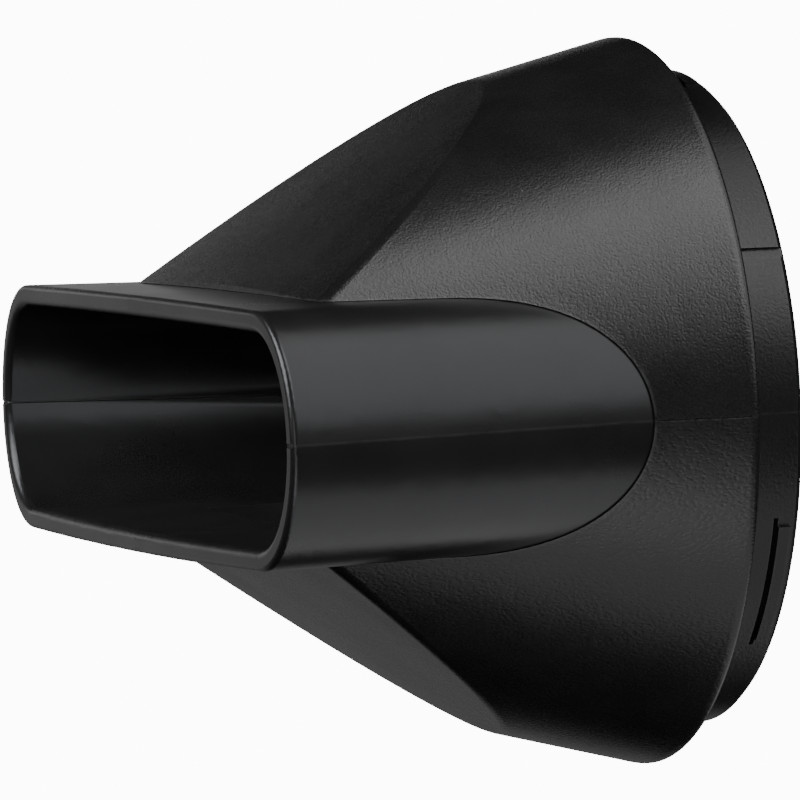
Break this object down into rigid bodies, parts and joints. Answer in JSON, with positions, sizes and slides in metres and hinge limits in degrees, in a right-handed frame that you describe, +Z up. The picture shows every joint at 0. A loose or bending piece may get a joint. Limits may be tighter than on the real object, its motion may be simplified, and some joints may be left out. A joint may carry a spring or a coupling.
{
  "type": "hair dryer concentrator nozzle",
  "caption": "Slot nozzle that pushes onto a hair dryer's barrel: round snap collar, grained cone with sloping flats, wide flared slot mouth.",
  "frame": {"origin": "centre of the collar's rear face, on the nozzle's axis", "axes": "+Z up; -Y along the nozzle's axis, out of the mouth; +X along the slot"},
  "size_m": [0.0842, 0.0507, 0.0632],
  "materials": {
    "grained_plastic": "fine eroded grain, satin sheen",
    "satin_plastic": "smooth satin",
    "collar_plastic": "light grain, satin"
  },
  "bodies": {
    "collar": {"mounting_collar": "collar_plastic"},
    "nozzle": {"upper_shield": "grained_plastic", "lower_shield": "grained_plastic", "upper_duct": "satin_plastic", "lower_duct": "satin_plastic"}
  },
  "joints": [
    {"name": "collar_turn", "type": "hinge", "parent": "collar", "child": "nozzle", "pos_m": [0, 0, 0], "axis": [0, -1, 0], "continuous": true}
  ]
}
